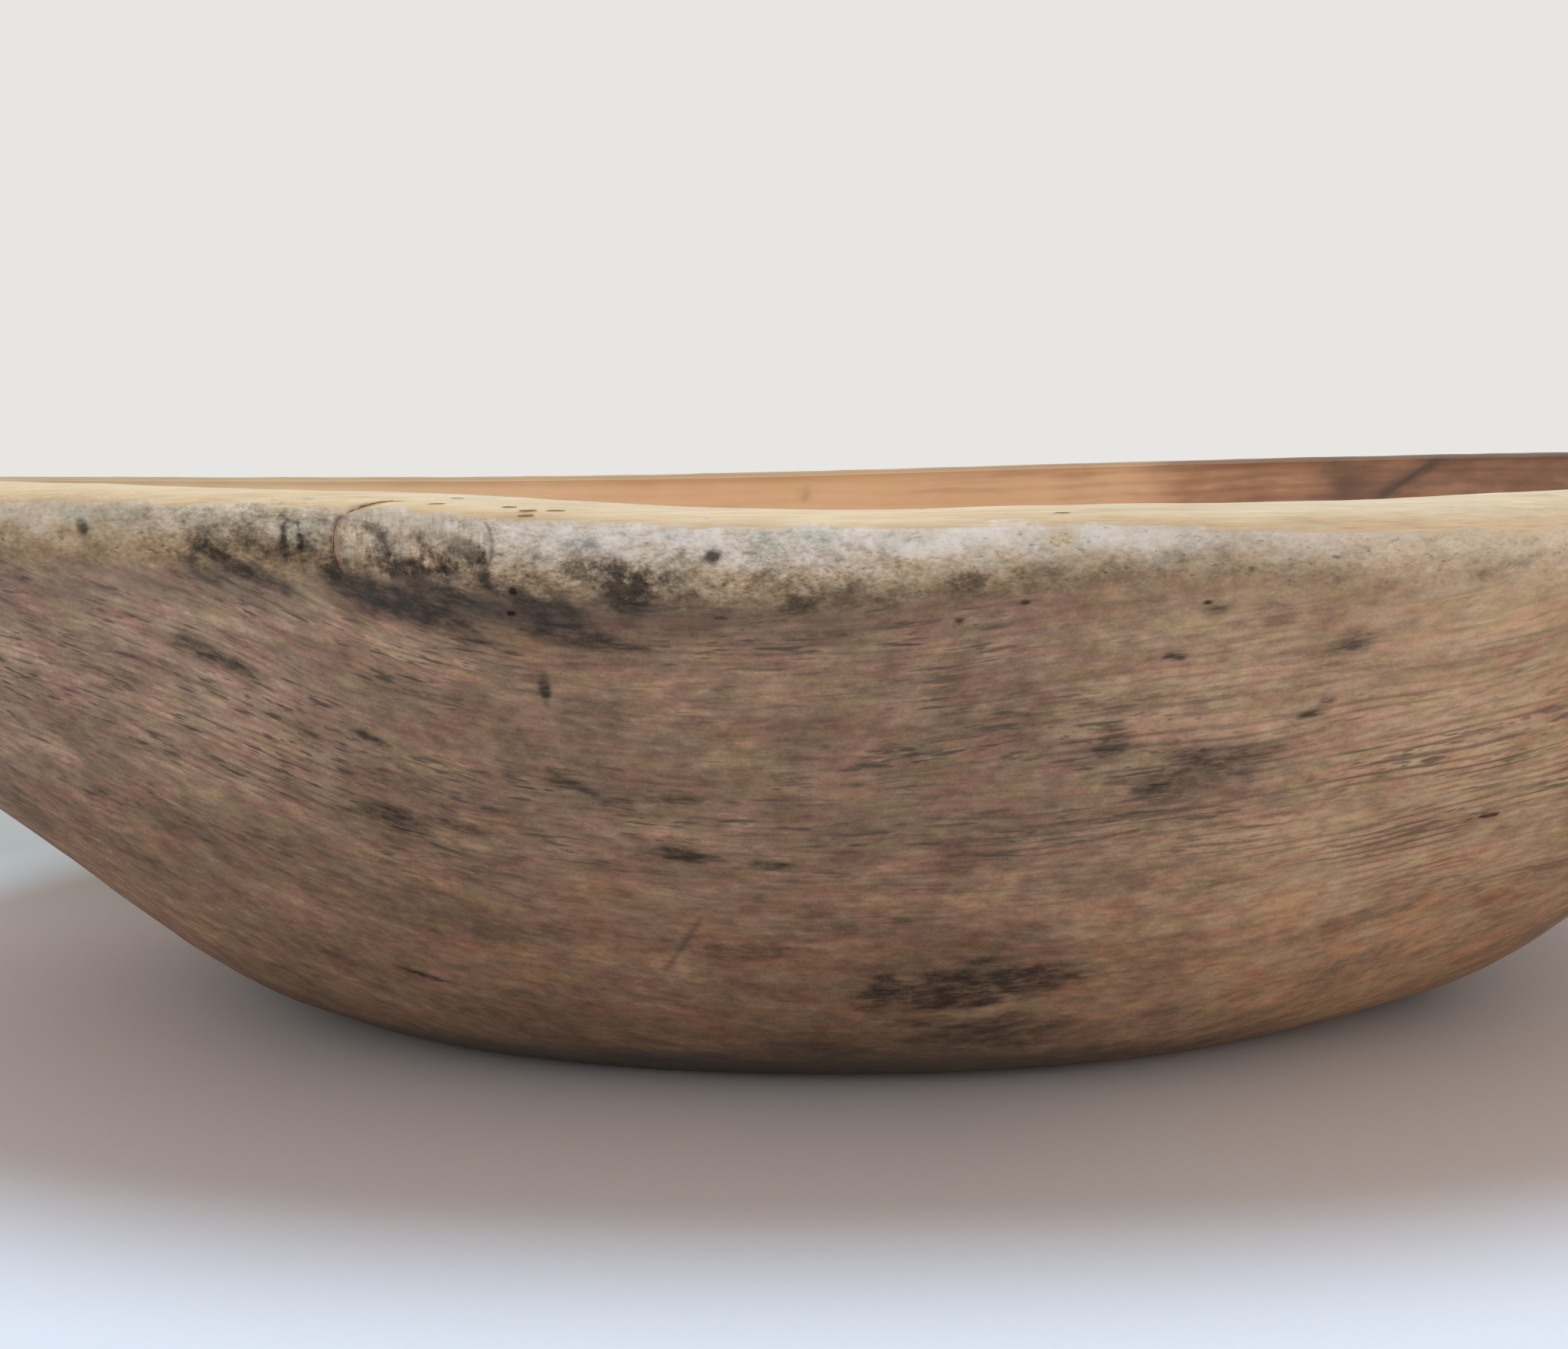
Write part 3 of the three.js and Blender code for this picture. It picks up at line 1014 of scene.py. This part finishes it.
def wall_colour(graph, wood, place):
    """Brown with mauve, olive and rusty patches, dark dashes and lines, and charcoal stains."""
    light = graph.field("light")
    tone = graph.noise(wood, (40, 12, 16), 1, 3)
    patches = graph.noise(wood, (9, 5, 5), 2, 4, 0.6)
    mottle = graph.noise(wood, (3.4, 2.0, 2.4), 26, 3, 0.6)
    streaks = graph.noise(wood, (7, 1.3, 2), 10, 3, 0.55)
    grit = graph.noise(place, (0.6, 0.6, 0.5), 19, 2)
    coarse = graph.blend((0.55, tone), (0.45, patches), (0.5, mottle), (0.285, light), start=-0.352)
    base = graph.ramp(graph.blend((0.2, streaks), (0.2, grit), start=coarse), *WALL_RAMP)
    mauve = graph.step(graph.noise(wood, (9, 3.6, 5), 4, 4, 0.6), 0.44, 0.62)
    olive = graph.step(graph.noise(wood, (8, 3.4, 5), 11, 4, 0.6), 0.46, 0.64)
    rust = graph.step(graph.noise(wood, (13, 6, 8), 27, 3, 0.6), 0.47, 0.62)
    rust = graph.times(rust, "low_wall")
    base = graph.tint(base, (mauve, MAUVE_TINT), (olive, OLIVE_TINT), (rust, RUST_TINT))
    base = graph.tint(base, ("ash", ASH_TINT), ("warm", WARM_TINT))
    dark = graph.times(grain_marks(graph, wood, light), "lined")
    base = graph.mix(dark, base, graph.mix(light, GRAIN_CHARCOAL, GRAIN_BROWN))
    scraped = graph.step(graph.blend((1.0, "scrape"), (0.6, streaks)), 0.5, 1.0)
    base = graph.mix(scraped, base, SCRAPED_WOOD)
    blotch = graph.noise(wood, (3.4, 1.5, 2.0), 9, 5, 0.68)
    fibres = graph.noise(wood, (4, 0.5, 0.6), 3, 3, 0.6)
    sooty = graph.step(graph.blend((0.65, blotch), (0.35, fibres)), 0.36, 0.64, 0.45, 1.0)
    stained = graph.step(graph.times("stain", sooty), 0.02, 0.8)
    base = graph.tint(base, (stained, WALL_SOOT_TINT))
    base = graph.mix("scratch", base, SCRATCH_COLOUR)
    # Painted shade low on the wall, at the foot and in the crease under the edge
    return graph.cover("grime", PAINTED_SHADE_SHARE, base, PAINTED_SHADE_COLOUR)


def grain_marks(graph, wood, light):
    """Where the grain is dark: long and short dashes in clusters, and soft lines to the right."""
    long = graph.step(graph.noise(wood, (8, 1.0, 1.5), 5, 2), 0.545, 0.66, 0.0, 0.85)
    short = graph.step(graph.noise(wood, (3.4, 0.75, 1.0), 7, 2), 0.59, 0.7, 0.0, 0.7)
    ring = graph.node("ShaderNodeSeparateXYZ", wood).outputs["Y"]
    turns = graph.blend((3.3, ring), (18, graph.noise(wood, (45, 8, 12), 8, 2)))
    there = graph.step(graph.noise(wood, (22, 4, 7), 6, 3), 0.36, 0.56, 0.15, 1.0)
    there = graph.times(there, graph.blend((0.55, light), start=0.36))
    lines = graph.times(graph.step(graph.math("SINE", turns), -0.1, 1.0), there)
    marks = graph.math("MAXIMUM", graph.math("MAXIMUM", long, short), lines)
    clusters = graph.step(graph.noise(wood, (26, 10, 12), 20, 2), 0.38, 0.6, 0.35, 1.0)
    return graph.times(marks, clusters)


def weathered(graph, place, value, low):
    """Grey of sun-bleached wood with cool, warm and brown tints, dark pits and smudges."""
    cool = graph.step(graph.noise(place, (6, 6, 4), 13, 4), 0.5, 0.64)
    brown = graph.step(graph.blend((0.7, low), (1.1, graph.noise(place, (7, 7, 3.5), 14, 4))), 0.6, 1.2)
    base = graph.tint(graph.ramp(value, *EDGE_RAMP), ("ash", EDGE_ASH_TINT), (cool, EDGE_COOL_TINT))
    base = graph.tint(base, ("warm", EDGE_WARM_TINT), (brown, EDGE_BROWN_TINT))
    holes = graph.step(graph.noise(place, (1.6, 1.2, 0.8), 15, 3, 0.6), 0.58, 0.70)
    holes = graph.times(holes, graph.blend((0.6, low), start=0.25))
    base = graph.mix(holes, base, EDGE_HOLE_COLOUR)
    sooty = graph.step(graph.noise(place, (2.4, 2.4, 2.0), 16, 4, 0.75), 0.36, 0.6, 0.42, 1.0)
    stained = graph.step(graph.times("stain", sooty), 0.03, 0.7)
    return graph.tint(base, (stained, EDGE_SOOT_TINT))


def edge_value(graph, place, low):
    """Mottled lightness of the weathered edge: it runs on from the dish to the knot."""
    broad = graph.noise(place, (16, 16, 6), 18, 2)
    mottle = graph.noise(place, (3.4, 3.4, 2.4), 11, 5, 0.68)
    flecks = graph.noise(place, (1.1, 0.9, 0.55), 12, 4, 0.7)
    uneven = graph.blend((1.05, mottle), (0.8, flecks), start=-0.925)
    uneven = graph.times(uneven, graph.blend((-1.0, "calm"), start=1.0))
    pale = graph.field("pale")
    darker_side = graph.times(low, graph.blend((0.45, pale), start=0.55))
    worn = graph.blend((0.2, pale), (-0.4, darker_side), start=0.52)
    return graph.blend((0.35, broad), start=graph.math("ADD", worn, uneven))


def lower_edge(graph):
    """0 on the edge's upper side, 1 on its lower side, less to the right."""
    low = graph.step("below_band", -10.5, 0.0)
    return graph.times(low, graph.blend((-0.55, "warm"), start=1.0))


def band_colour(graph, place):
    """Silver-grey edge, mottled, with crisp flecks, browner towards its lower side."""
    low = lower_edge(graph)
    base = weathered(graph, place, edge_value(graph, place, low), low)
    return graph.cover("halo", HALO_SHARE, base, HALO_COLOUR)


def knot_colour(graph, place):
    """Tan and grey end of a branch, with upright fibres and a reddish open side."""
    low = lower_edge(graph)
    upright = graph.noise(place, (0.8, 1.2, 2.6), 62, 3, 0.65)
    heart = graph.field("heart")
    fibrous = graph.times(graph.blend((1.0, upright), start=-0.465), heart)
    base = weathered(graph, place, graph.math("ADD", edge_value(graph, place, low), fibrous), low)
    tan = graph.step(graph.noise(place, (6, 6, 4), 63, 3), 0.42, 0.62, 0.0, 0.45)
    base = graph.mix(graph.times(tan, heart), base, KNOT_TAN)
    return graph.cover("lip", KNOT_LIP_SHARE, base, KNOT_LIP_COLOUR)


def pin_colour(graph, place):
    """Yellowish heart of a small twig."""
    return graph.ramp(graph.noise(place, (0.7, 0.7, 0.5), 71, 3, 0.6), *PIN_RAMP)


def crown_colour(graph, place):
    """Worn honey-coloured top of the rim, with fine streaks and a yellower stripe at its outer side that is
    also lightened as painted light.
    """
    streaks = graph.noise(place, (12, 0.9, 0.35), 21, 4, 0.7)
    clouds = graph.noise(place, (24, 6, 4), 22, 3)
    base = graph.ramp(graph.blend((0.7, streaks), (0.4, clouds), start=0.05), *CROWN_RAMP)
    # Painted light: the crown's outer side is lightened where its rounding turns away from the lamp, and
    # yellowed
    outer = graph.step("below_crown", -3.5, -0.6)
    base = graph.tint(base, (outer, CROWN_OUTER_YELLOW_AND_LIGHT), ("warm", CROWN_RIGHT_TINT))
    marks = graph.step(graph.noise(place, (3.2, 0.9, 0.4), 23, 2), 0.66, 0.76, 0.0, 0.5)
    return graph.mix(marks, base, CROWN_MARK_COLOUR)


def hollow_colour(graph, wood, place):
    """Orange-tan with faint growth rings, paler to the left, darker and redder to the right."""
    clouds = graph.noise(place, (30, 30, 18), 31, 3)
    streaks = graph.noise(wood, (40, 1.6, 4), 32, 3)
    ring = graph.node("ShaderNodeSeparateXYZ", wood).outputs["Y"]
    turns = graph.blend((1.7, ring), (16, graph.noise(wood, (90, 60, 50), 35, 2)))
    rings = graph.step(graph.math("SINE", turns), -0.3, 1.0)
    patchy = graph.blend((0.55, graph.noise(place, (20, 14, 8), 33, 4, 0.6)), start=-0.7)
    shade = graph.math("MULTIPLY_ADD", "inner_dark", patchy, 0.435)
    value = graph.blend((0.4, clouds), (0.16, streaks), (-0.045, rings), start=shade)
    base = graph.ramp(value, *HOLLOW_RAMP)
    olive = graph.step(graph.noise(place, (12, 12, 8), 34, 3), 0.44, 0.62)
    base = graph.tint(base, (olive, HOLLOW_OLIVE_TINT), ("inner_pale", HOLLOW_PALE_TINT))
    # Painted shade on the far lip's top, against the light it catches from above
    base = graph.tint(base, ("far_lip_shade", FAR_LIP_SHADE_TINT))
    return graph.mix("inner_mark", base, INNER_MARK_COLOUR)


def wood_finish(name, edge_colour):
    """Bare wood with its hollow, crown, edge and wall, each in the colour of its own."""
    finish = bpy.data.materials.new(name)
    graph = Graph(finish)
    wood = graph.field("wood", "Vector")
    metres = graph.node("ShaderNodeTexCoord").outputs["Object"]
    place = graph.node("ShaderNodeVectorMath", metres, (1 / MM,) * 3, operation="MULTIPLY").outputs[0]
    streaky = graph.noise(place, (12, 2, 0.6), 41, 4, 0.6)
    ragged = graph.blend((4.5, streaky), (2.4, graph.noise(place, (7, 7, 7), 42, 3)))
    below_crown = graph.field("below_crown")
    to_band = graph.step(graph.math("ADD", below_crown, ragged), 2.8, 4.2)
    uneven = graph.noise(place, (5, 5, 3), 43, 5, 0.72)
    to_wall = graph.step(graph.blend((10.0, uneven), start="below_band"), 1.6, 8.2)
    colour = graph.mix("hollow", crown_colour(graph, place), hollow_colour(graph, wood, place))
    colour = graph.mix(to_band, colour, edge_colour(graph, place))
    colour = graph.mix(to_wall, colour, wall_colour(graph, wood, place))
    colour = graph.cover("crack", CRACK_SHARE, colour, CRACK_COLOUR)
    # Painted shade inside the pits and worm holes
    colour = graph.cover("pit", PIT_SHADE_SHARE, colour, PIT_SHADE_COLOUR)
    rough = graph.step(below_crown, -3.0, 3.0, CROWN_ROUGHNESS, WOOD_ROUGHNESS)
    fibres = graph.noise(wood, (3, 0.45, 0.6), 44, 2)
    bump = graph.node("ShaderNodeBump")
    graph.feed_named(bump, Strength=BUMP_STRENGTH, Distance=BUMP_DISTANCE * MM, Height=fibres)
    shader = graph.nodes["Principled BSDF"]
    graph.feed_named(shader, Base_Color=colour, Roughness=rough, Specular_IOR_Level=WOOD_SPECULAR)
    graph.feed_named(shader, Normal=bump.outputs["Normal"])
    return finish


# Studio


def floor_finish():
    """Pale paint, darkened behind the dish as painted shade, that shows the dish's shadow near it and fades
    into the backdrop further off.
    """
    finish = bpy.data.materials.new("floor_paint")
    graph = Graph(finish)
    spot = graph.node("ShaderNodeTexCoord").outputs["Object"]
    speckle = graph.step(graph.noise(spot, (FLOOR_SPECK,) * 3, 51), 0.3, 0.7, 0.0, FLOOR_SPECK_SHARE)
    # Painted shade: the floor darkens behind the dish
    shaded_back = graph.step(graph.node("ShaderNodeSeparateXYZ", spot).outputs["Y"], *FLOOR_SHADE_SPAN)
    paint = graph.mix(speckle, graph.mix(shaded_back, FLOOR_COLOUR, FLOOR_SHADE_BEHIND), FLOOR_SPECK_COLOUR)
    shader = graph.nodes["Principled BSDF"]
    graph.feed_named(shader, Base_Color=paint, Roughness=FLOOR_ROUGHNESS, Specular_IOR_Level=FLOOR_SPECULAR)
    distance = graph.node("ShaderNodeVectorMath", spot, operation="LENGTH").outputs["Value"]
    away = graph.times(graph.step(distance, FLOOR_SHOWN, FLOOR_GONE), graph.seen())
    glow = graph.node("ShaderNodeEmission", BACKDROP, 1.0).outputs[0]
    sheet = graph.node("ShaderNodeMixShader", away, shader.outputs[0], glow).outputs[0]
    graph.feed_named(graph.nodes["Material Output"], Surface=sheet)
    return finish


def make_floor():
    half = FLOOR_SIZE / 2
    corners = [(-half, -half, 0), (half, -half, 0), (half, half, 0), (-half, half, 0)]
    mesh = bpy.data.meshes.new("floor")
    mesh.from_pydata(corners, [], [(0, 1, 2, 3)])
    mesh.materials.append(floor_finish())
    floor = add_object("floor", mesh)


def make_light():
    world = bpy.data.worlds.new("studio")
    bpy.context.scene.world = world
    graph = Graph(world)
    around = graph.nodes["Background"]
    graph.feed_named(around, Color=AMBIENT)
    backdrop = graph.node("ShaderNodeBackground", BACKDROP, 1.0).outputs[0]
    light = graph.node("ShaderNodeMixShader", graph.seen(), around.outputs[0], backdrop).outputs[0]
    graph.feed_named(graph.nodes["World Output"], Surface=light)
    lamp = bpy.data.lights.new("soft_lamp", "AREA")
    lamp.shape = "DISK"
    lamp.size = KEY_SIZE
    lamp.energy = KEY_POWER
    lamp.color = KEY_COLOUR
    key = add_object("soft_lamp", lamp)
    key.location = KEY_PLACE


def make_camera():
    data = bpy.data.cameras.new("camera")
    data.sensor_width = SENSOR_WIDTH
    data.lens = SENSOR_WIDTH * FOCAL_PIXELS / IMAGE_WIDTH
    data.clip_start = 0.01
    camera = add_object("camera", data)
    tilt = Matrix.Rotation(math.radians(90 - CAMERA_PITCH), 4, "X")
    roll = Matrix.Rotation(math.radians(CAMERA_ROLL), 4, "Z")
    camera.matrix_world = Matrix.Translation(Vector(CAMERA_PLACE) * MM) @ tilt @ roll
    bpy.context.scene.camera = camera


make_camera()
make_floor()
make_light()
dish, knot, pin, pits = make_pieces()
front = front_points()
stains = marks_on(front, STAINS)
scrapes = marks_on(front, SCRAPES)
for piece, node, slot, edge_colour in (
    (dish, "dish_body", "weathered_wood", band_colour),
    (knot, "rim_knot", "knot_wood", knot_colour),
    (pin, "pin_knot", "pin_wood", pin_colour),
):
    add_fields(piece, stains, scrapes, pits)
    piece.data.materials.clear()
    piece.data.materials.append(wood_finish(slot, edge_colour))
    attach(piece, "root")
    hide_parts(node)
bpy.context.scene.view_settings.view_transform = "Standard"
